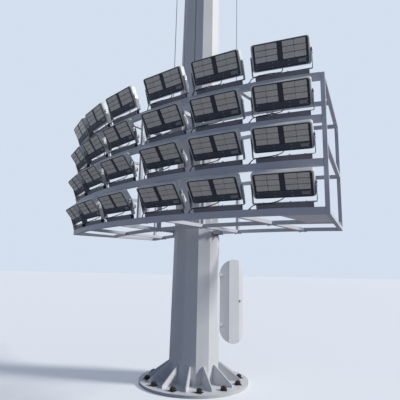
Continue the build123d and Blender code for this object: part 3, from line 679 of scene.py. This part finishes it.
def inset(corners, amount):
    # The same flat shape, each side moved inwards
    lines = []
    count = len(corners)
    for k in range(count):
        a = Vector(corners[k])
        b = Vector(corners[(k + 1) % count])
        d = (b - a).normalized()
        inward = Vector((d.y, -d.x))
        lines.append((a + inward * amount, d))
    points = []
    for k in range(count):
        p, d = lines[k - 1]
        q, e = lines[k]
        t = (q - p).cross(e) / d.cross(e)
        points.append(tuple(p + d * t))
    return points


def eased(corners, radius):
    # The same flat shape with its corners rounded off
    steps = 3
    points = []
    count = len(corners)
    for k in range(count):
        at = Vector(corners[k])
        before = (Vector(corners[k - 1]) - at).normalized() * radius
        after = (Vector(corners[(k + 1) % count]) - at).normalized() * radius
        for j in range(steps + 1):
            t = j / steps
            points.append(tuple(at + before * (1 - t) ** 2 + after * t * t))
    return points


# The leads' points repeat the CAD route, in the beam's frame and in millimetres
DROPS = (
    ((-12, 45, 108), (-62, -16, 76)),
    ((-12, 66, 127), (-60, -2, 84)),
    ((-12, 76, 136), (-58, 4, 90)),
    ((-12, 76, 134), (-58, 4, 90)),
)
ALONG = ((-125, -57, 58), (-205, -62, 52), (-285, -58, 49))
LEAD_R = 5.8
ENTRY = Vector((-408, 8, 0))
ENTRY_DIR = Vector((0.575, -0.688, 0.443)).normalized()


def driver_mouth(row, out):
    return (aimed(row) @ Vector((0, 95 * MM, (-98 - out) * MM))) / MM


def lead_mesh(row):
    # Smooth line through the listed points, as a round tube
    points = [driver_mouth(row, 18), driver_mouth(row, 68)]
    points += [Vector(p) for p in DROPS[row] + ALONG]
    points += [ENTRY + ENTRY_DIR * 82, ENTRY + ENTRY_DIR * 24]
    curve = bpy.data.curves.new("lead_line", "CURVE")
    curve.dimensions = "3D"
    spline = curve.splines.new("NURBS")
    spline.points.add(len(points) - 1)
    for knot, p in zip(spline.points, points):
        knot.co = (*(p * MM), 1)
    spline.order_u = 3
    spline.use_endpoint_u = True
    curve.resolution_u = 8
    curve.bevel_depth = LEAD_R * MM
    curve.bevel_resolution = 3
    curve.use_fill_caps = True
    holder = bpy.data.objects.new("lead_line", curve)
    mesh = bpy.data.meshes.new_from_object(holder)
    bpy.data.objects.remove(holder)
    for f in mesh.polygons:
        f.use_smooth = True
    mesh.materials.clear()
    mesh.materials.append(MATS["cable_rubber"])
    return mesh


def gland_mesh(row):
    # Hexagon cable glands with their clamping domes, at the lamp and at the beam
    s = Sculpt()
    top = driver_mouth(row, 0)
    down = (driver_mouth(row, 10) - top).normalized()
    for at, d, base in ((top, down, 0), (ENTRY, ENTRY_DIR, -10)):
        s.tube(at + d * base, at + d * 8, 11.3, 6, 0)
        s.tube(at + d * 8, at + d * 10, 9.5, 12, 0)
        s.tube(at + d * 10, at + d * 18, 11.3, 6, 0)
        s.turned(at + d * 18, d, ((0, 9.5), (5, 8.6), (8, 6.4), (9, 5.0)), 14, 0)
    return s.mesh("gland_pattern_%d" % (row + 1), [MATS["cable_rubber"]])


def build_lamps():
    lamp = lamp_mesh()
    bracket = yoke_mesh()
    seat = seat_mesh()
    leads = [lead_mesh(row) for row in range(4)]
    glands = [gland_mesh(row) for row in range(4)]
    for row, column, spot in lamp_spots():
        tag = "_r%dc%d" % (row + 1, column + 1)
        housings = "lamp_housings_row_%d" % (row + 1)
        yokes = "yokes_row_%d" % (row + 1)
        for name, mesh, matrix, slot, instead in (
                ("floodlight", lamp, spot @ aimed(row), "lamp_dark", (housings, "lamp_lenses")),
                ("yoke", bracket, spot @ ON_SEAT, "yoke_grey", (yokes,)),
                ("yoke_seat", seat, spot, "yoke_grey", ("yoke_seats",)),
                ("lead", leads[row], spot, "cable_rubber", ("lamp_leads",)),
                ("lead_glands", glands[row], spot, "cable_rubber", ("lead_glands",))):
            place(name + tag, mesh, "carriage", matrix, slot, instead)


build_lamps()


# Ropes and the supply cable, drawn at one length from the rack's top to the head; on the tower they
# shorten when the rack goes up
def run_mesh(name, points, radius, material, sides=10, closed=False):
    # A round run through the points, with u round it and v along it in metres
    bm = bmesh.new()
    uv = bm.loops.layers.uv.new("UVMap")
    line = [Vector(p) for p in points]
    if closed:
        line.append(line[0])
    rings = []
    marks = []
    up = None
    along = 0.0
    for k, p in enumerate(line):
        before = line[k - 1] if k else (line[-2] if closed else p)
        after = line[k + 1] if k + 1 < len(line) else (line[1] if closed else p)
        d = (after - before).normalized()
        up = d.orthogonal().normalized() if up is None else (up - d * up.dot(d)).normalized()
        side = d.cross(up)
        turns = [2 * math.pi * j / sides for j in range(sides)]
        round_p = [p + side * radius * math.cos(t) + up * radius * math.sin(t) for t in turns]
        rings.append([bm.verts.new(q * MM) for q in round_p])
        along += (p - line[k - 1]).length if k else 0.0
        marks.append(along * MM)
    for low, high, v0, v1 in zip(rings, rings[1:], marks, marks[1:]):
        for j in range(sides):
            n = (j + 1) % sides
            face = bm.faces.new((low[j], low[n], high[n], high[j]))
            face.smooth = True
            for loop, (turn, v) in zip(face.loops, ((j, v0), (j + 1, v0), (j + 1, v1), (j, v1))):
                loop[uv].uv = (turn / sides, v)
    if not closed:
        bm.faces.new(list(reversed(rings[0])))
        bm.faces.new(rings[-1])
    bmesh.ops.recalc_face_normals(bm, faces=bm.faces)
    mesh = bpy.data.meshes.new(name)
    bm.to_mesh(mesh)
    bm.free()
    mesh.materials.append(material)
    return mesh


SHEAVE_Z = 25120.0
RACK_TOP = ROW_TOPS[0]
RACK_BOTTOM = ROW_TOPS[3] - 80
ROPE_LOW = RACK_TOP + 60
FRONT_ROPE_Y = arc_y(MID_R, 0)
ROPES = [(x, arc_y(MID_R, x)) for x in (-230, 230)]
ROPES += [(x, arc_y(REAR_R, x)) for x in (-430, 430)]
ROPE_R = 6
CABLE_R = 9


def build_ropes():
    for k, (x, y) in enumerate(ROPES):
        # The second rope stands where the photograph shows its dark line
        # That rope takes the darkened copy of the wire rope, which holds painted shade
        finish = SHADED_ROPE if k == 1 else MATS["rope_wire"]
        mesh = run_mesh("hoist_rope", [(x, y, ROPE_LOW), (x, y, SHEAVE_Z)], ROPE_R, finish)
        rope = place("hoist_rope_%d" % (k + 1), mesh, "mast", None, "rope_wire", ("hoist_ropes",))
        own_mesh(rope)
    top = SHEAVE_Z - 40
    line = [(0, FRONT_ROPE_Y, ROPE_LOW), (0, FRONT_ROPE_Y, top)]
    # The supply cable takes the paler sheath, which holds painted light
    mesh = run_mesh("supply_cable", line, CABLE_R, LIT_SHEATH)
    cable = place("supply_cable_run", mesh, "mast", None, "cable_rubber", ("supply_cable",))
    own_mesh(cable)


def build_rope_ends():
    # Swaged ends in bolted lugs on the rack's top bars
    s = Sculpt()
    for x, y in ROPES + [(0, FRONT_ROPE_Y)]:
        s.box(x - 25, x + 25, y - 18, y + 18, RACK_TOP, RACK_TOP + 10, 1.5, 0)
        profile = ((10, 16), (20, 16), (24, 12.5), (44, 11.5), (58, 10), (62, 8.5))
        s.turned((x, y, RACK_TOP), (0, 0, 1), profile, 18, 0)
        for side in (-1, 1):
            s.bolt((x + side * 19, y, RACK_TOP + 10), (0, 0, 1), 8, 5, 0, washer=False)
    ends = s.mesh("rope_ends", [MATS["zinc_steel"]])
    place("rope_ends", ends, "carriage", None, "zinc_steel", ("rope_anchors",))


build_ropes()
build_rope_ends()


# The winch inside the shaft
def build_winch():
    # The drum's middle, its turns of rope, the rope that rises from it, and the bolts
    y = -40.0
    z = 980.0
    turn_count, turn_pitch, turn_r, main_r = 17, 14.3, 84, 7
    for k in range(turn_count):
        x = -114.4 + turn_pitch * k
        turns = [2 * math.pi * j / 28 for j in range(28)]
        ring = [(x, y + turn_r * math.cos(t), z + turn_r * math.sin(t)) for t in turns]
        mesh = run_mesh("rope_turn", ring, main_r, MATS["rope_wire"], 8, closed=True)
        place("winch_rope_turn_%d" % (k + 1), mesh, "mast", None, "rope_wire")
    line = [(0, y - 91.3, z), (0, y - 91.3, 24970)]
    mesh = run_mesh("main_rope", line, main_r, MATS["rope_wire"])
    place("main_rope_run", mesh, "mast", None, "rope_wire", ("main_rope",))
    s = Sculpt()
    for dy in (-78, 78):
        for dz in (-92, 92):
            s.bolt((247, y + dy, z + dz), (1, 0, 0), 16, 8)
    for dy in (-45, 45):
        for dz in (-45, 45):
            s.bolt((-152, y + dy, z + dz), (-1, 0, 0), 14, 7)
    for x in (-125, 125):
        for dz in (-170, 130):
            s.bolt((x, y - 160, z + dz), (0, 1, 0), 18, 9)
    bolts = s.mesh("winch_bolts", [MATS["zinc_steel"]])
    place("winch_bolts", bolts, "mast", None, "zinc_steel")


build_winch()


# Studs and welds at the foot
HALF_FACET = math.radians(15)
SHAFT_R = 384.5
SHAFT_FLAT = SHAFT_R * math.cos(HALF_FACET)
TAPER = 0.00963
FOOT_TURN = 2.5
RIB_COUNT = 12
BOLT_R = 700
FLANGE_TOP = 40
RIB_TOP = 288


def build_foot():
    # The studs' ends above their nuts, then the ribs' welds and the shaft's
    s = Sculpt()
    step = 360 / RIB_COUNT
    for k in range(RIB_COUNT):
        a = math.radians(step * (k + 0.5) + FOOT_TURN)
        x = BOLT_R * math.sin(a)
        y = -BOLT_R * math.cos(a)
        profile = ((50, 20.5), (90, 20.5), (94, 19), (97, 15.5))
        s.turned((x, y, 0), (0, 0, 1), profile, 20, 0)
        s.tube((x, y, 84), (x, y, 85.5), 30, 24, 0)
    studs = s.mesh("anchor_studs", [MATS["fastener_steel"]])
    place("anchor_studs", studs, "mast", None, "fastener_steel")
    s = Sculpt()
    up = Vector((0, 0, 1))
    for k in range(RIB_COUNT):
        a = math.radians(step * k - 90 + FOOT_TURN)
        out = Vector((math.cos(a), math.sin(a), 0))
        across = Vector((-math.sin(a), math.cos(a), 0))
        r = SHAFT_FLAT / math.cos(math.radians(FOOT_TURN))
        for side in (-8, 8):
            base = across * side
            low = base + up * FLANGE_TOP
            s.bead(out * (r + 4) + low, out * 698 + low, 5)
            top = out * (r - TAPER * RIB_TOP) + base + up * RIB_TOP
            s.bead(out * r + base + up * (FLANGE_TOP + 6), top, 5)
    r = SHAFT_R - 0.2
    for k in range(RIB_COUNT):
        ends = []
        for j in (k - 0.5, k + 0.5):
            a = math.radians(step * j - 90)
            ends.append(Vector((r * math.cos(a), r * math.sin(a), FLANGE_TOP + 1)))
        s.bead(ends[0], ends[1], 6)
    place("foot_welds", s.mesh("foot_welds", [MATS["mast_paint"]]), "mast", None, "mast_paint")


build_foot()


# Door fittings; the door stands open at rest, so they turn with it
HINGE = (244.5, 292.3)
HINGE_LEVELS = (800, 1570)
DOOR_OPEN = 109
DOOR_MIDDLE = 1185


def build_door():
    opened = shift(*HINGE, 0) @ tilt(-DOOR_OPEN, "Z") @ shift(-HINGE[0], -HINGE[1], 0)
    skin = SHAFT_FLAT - TAPER * math.cos(HALF_FACET) * DOOR_MIDDLE
    s = Sculpt()
    profile = ((0, 16), (8, 16), (8.4, 21), (11, 21), (13, 18), (20, 16), (26, 13))
    s.turned((-120, skin - 8, DOOR_MIDDLE), (0, 1, 0), profile, 24, 0)
    lock = s.mesh("door_lock_cover", [MATS["mast_paint"]])
    place("door_lock_cover", lock, "door", opened, "mast_paint", ("door_lock",))
    s = Sculpt()
    for level in HINGE_LEVELS:
        profile = ((0, 8.5), (2.5, 8.5), (5, 6), (5.6, 3))
        s.turned((*HINGE, level + 45), (0, 0, 1), profile, 16, 0)
    caps = s.mesh("hinge_pin_caps", [MATS["zinc_steel"]])
    place("hinge_pin_caps", caps, "mast", None, "zinc_steel")


build_door()


# Bolted plates under the rack's crossings, and the junction box's fittings
def build_rack_fittings():
    s = Sculpt()
    for top in (RACK_TOP, RACK_BOTTOM + BAR):
        under = top - BAR
        for x in (-1500, -470, 470, 1500):
            for radius in (MID_R, REAR_R):
                y = arc_y(radius, x)
                s.box(x - 60, x + 60, y - 25, y + 25, under - 6, under, 1.0, 0)
                for side in (-44, 44):
                    s.bolt((x + side, y, under - 6), (0, 0, -1), 16, 8, 1)
    for side in (-1, 1):
        for z in (RACK_TOP - 60, RACK_BOTTOM + 40):
            for dy in (-30, 30):
                s.bolt((side * 495, dy, z), (side, 0, 0), 16, 8, 1)
    plates = s.mesh("crossing_plates", [MATS["rack_paint"], MATS["zinc_steel"]])
    place("crossing_plates", plates, "carriage", None, "rack_paint")
    s = Sculpt()
    front = FRONT_ROPE_Y - 115
    low = RACK_TOP - 200
    s.plate(rounded(-112, 112, low, RACK_TOP - 4, 8, 4), front, front - 6, 3, 0)
    for x in (-98, 98):
        for z in (RACK_TOP - 186, RACK_TOP - 18):
            s.turned((x, front - 6, z), (0, -1, 0), ((0, 6), (2, 5.6), (3, 3.5)), 12, 1)
    for x in (-75, -25, 25, 75):
        at = Vector((x, front + 50, low))
        s.tube(at, at + Vector((0, 0, -10)), 13, 6, 2)
        s.turned(at, (0, 0, -1), ((10, 11), (18, 10), (24, 7)), 14, 2)
    finishes = [MATS["box_grey"], MATS["zinc_steel"], MATS["cable_rubber"]]
    place("junction_lid", s.mesh("junction_lid", finishes), "carriage", None, "box_grey")


build_rack_fittings()


# Bolts in the cap's flange and at the ends of the pulleys' axles
def build_head():
    s = Sculpt()
    cap_top = 25014
    bolt_r = 205
    for k in range(12):
        a = math.radians(30 * k)
        s.bolt((bolt_r * math.cos(a), bolt_r * math.sin(a), cap_top), (0, 0, 1), 19, 10)
    for x, y in ROPES:
        out = Vector((x, y, 0)).normalized()
        across = Vector((-out.y, out.x, 0))
        at = Vector((x, y, 0)) - out * 110 + Vector((0, 0, SHEAVE_Z))
        for side in (-1, 1):
            s.bolt(at + across * side * 23, across * side, 30, 12)
    bolts = s.mesh("head_bolts", [MATS["zinc_steel"]])
    place("head_bolts", bolts, "mast", None, "zinc_steel")


build_head()


# Floor, sky and light
def build_floor():
    # Pale to the camera, and dimmer for the light that it throws back
    s = Sculpt()
    edge = 400000
    corners = ((-edge, -edge), (edge, -edge), (edge, edge), (-edge, edge))
    s.loops([[(x, y, z) for x, y in corners] for z in (-4, -0.5)])
    m = bpy.data.materials.new("floor")
    m.use_nodes = True
    nt = m.node_tree
    pale = nt.nodes["Principled BSDF"]
    pale.inputs["Base Color"].default_value = (0.74, 0.76, 0.79, 1)
    pale.inputs["Roughness"].default_value = 0.9
    pale.inputs["Emission Color"].default_value = (0.88, 0.94, 1.0, 1)
    pale.inputs["Emission Strength"].default_value = 0.2
    dim = nt.nodes.new("ShaderNodeBsdfDiffuse")
    dim.inputs["Color"].default_value = (0.30, 0.30, 0.31, 1)
    ray = nt.nodes.new("ShaderNodeLightPath")
    blend = nt.nodes.new("ShaderNodeMixShader")
    nt.links.new(ray.outputs["Is Camera Ray"], blend.inputs[0])
    nt.links.new(dim.outputs[0], blend.inputs[1])
    nt.links.new(pale.outputs[0], blend.inputs[2])
    nt.links.new(blend.outputs[0], nt.nodes["Material Output"].inputs["Surface"])
    floor = bpy.data.objects.new("floor", s.mesh("floor", [m]))
    scene.collection.objects.link(floor)


def build_sky():
    # Soft light of one colour, and a paler backdrop for the camera and for reflections
    world = bpy.data.worlds.new("soft_sky")
    scene.world = world
    world.use_nodes = True
    wt = world.node_tree
    background = wt.nodes["Background"]
    background.inputs["Color"].default_value = (0.54, 0.69, 1.0, 1)
    background.inputs["Strength"].default_value = 0.30
    seen = wt.nodes.new("ShaderNodeBackground")
    seen.inputs["Color"].default_value = (0.66, 0.74, 0.86, 1)
    seen.inputs["Strength"].default_value = 1.0
    path = wt.nodes.new("ShaderNodeLightPath")
    either = path.outputs["Is Camera Ray"]
    for kind in ("Is Glossy Ray", "Is Transmission Ray"):
        more = wt.nodes.new("ShaderNodeMath")
        more.operation = "MAXIMUM"
        wt.links.new(either, more.inputs[0])
        wt.links.new(path.outputs[kind], more.inputs[1])
        either = more.outputs[0]
    mix = wt.nodes.new("ShaderNodeMixShader")
    wt.links.new(either, mix.inputs[0])
    wt.links.new(background.outputs[0], mix.inputs[1])
    wt.links.new(seen.outputs[0], mix.inputs[2])
    wt.links.new(mix.outputs[0], wt.nodes["World Output"].inputs["Surface"])


def build_sun():
    sun = bpy.data.lights.new("sun", "SUN")
    sun.energy = 3.2
    sun.angle = math.radians(10)
    sun.color = (1.0, 0.97, 0.92)
    lamp = bpy.data.objects.new("sun", sun)
    scene.collection.objects.link(lamp)
    towards = Vector((0.848, 0.530, 0.60)).normalized()
    lamp.rotation_mode = "QUATERNION"
    lamp.rotation_quaternion = towards.to_track_quat("Z", "Y")


build_floor()
build_sky()
build_sun()
scene.view_settings.view_transform = "Standard"

bpy.context.view_layer.update()
